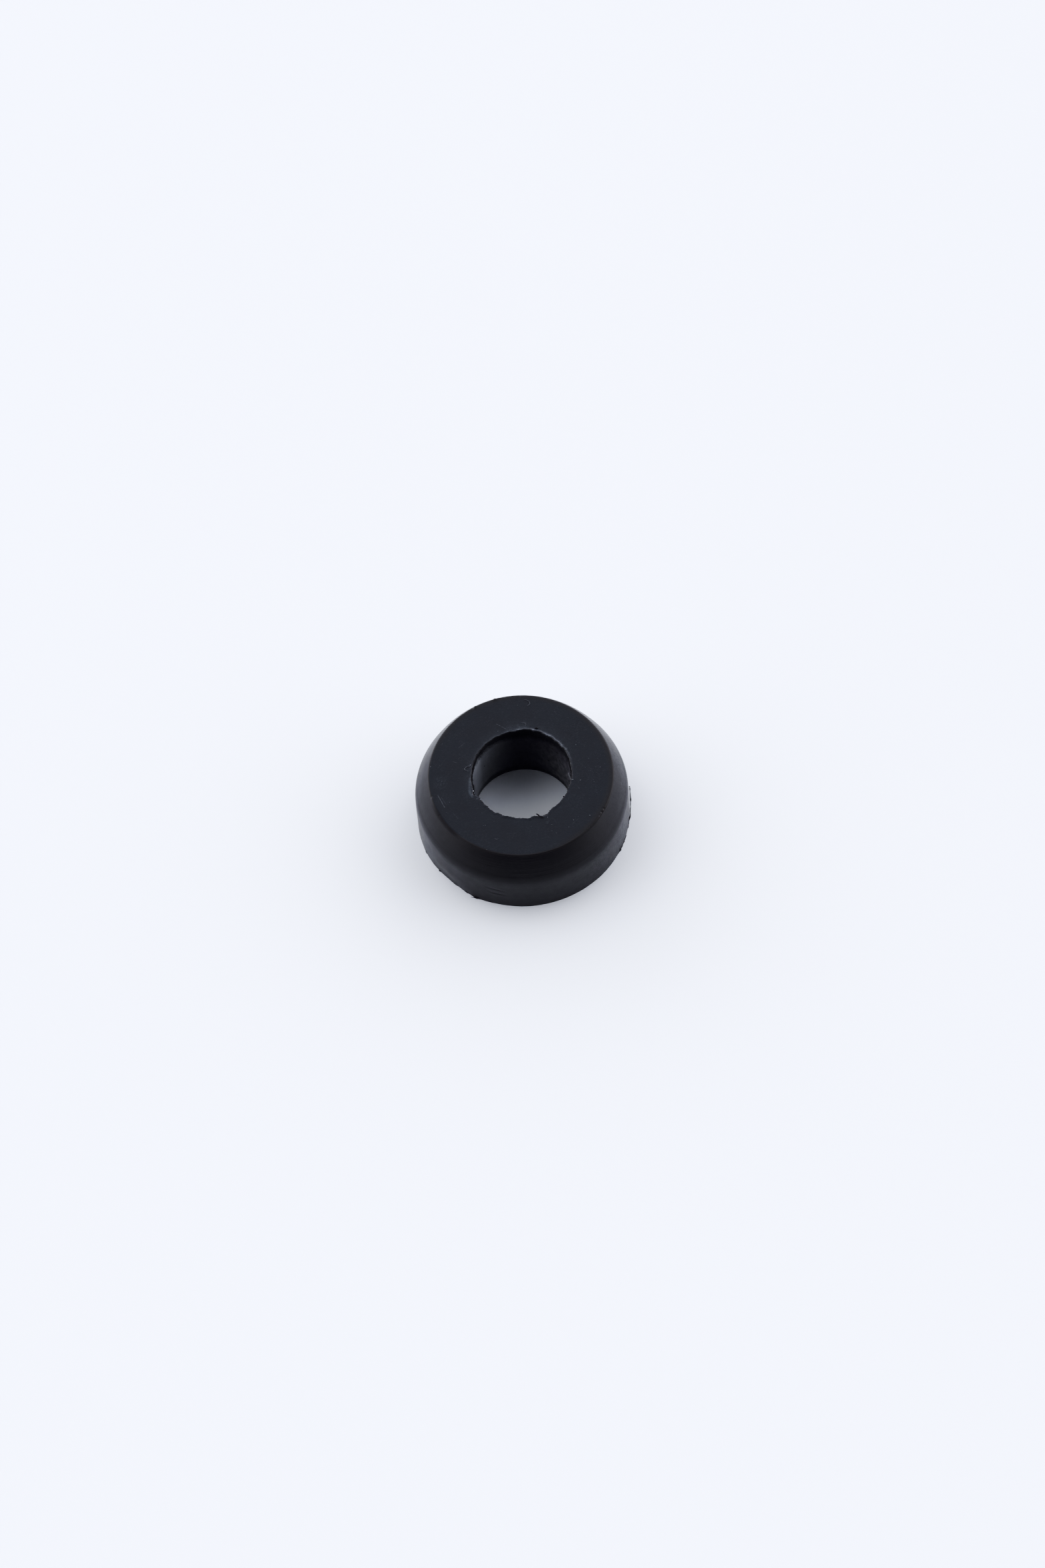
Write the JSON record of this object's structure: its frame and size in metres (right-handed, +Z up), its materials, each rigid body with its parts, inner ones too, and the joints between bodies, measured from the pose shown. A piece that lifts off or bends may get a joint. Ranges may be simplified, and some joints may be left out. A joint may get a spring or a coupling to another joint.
{
  "type": "rubber grommet",
  "caption": "Short round rubber grommet: a straight band with a rounded shoulder and tapered nose, a flat top and base, and a plain through bore that grips a spigot.",
  "frame": {"origin": "centre of the flat base face, on the axis of the bore", "axes": "+Z up along the bore axis, from the base face towards the tapered top; X and Y are free, because the part is a body of revolution"},
  "size_m": [0.025, 0.025, 0.0092],
  "materials": {
    "rubber": "matte black moulded rubber, slightly glossier on the taper and band"
  },
  "bodies": {
    "root": {"grommet": "rubber"}
  },
  "joints": []
}
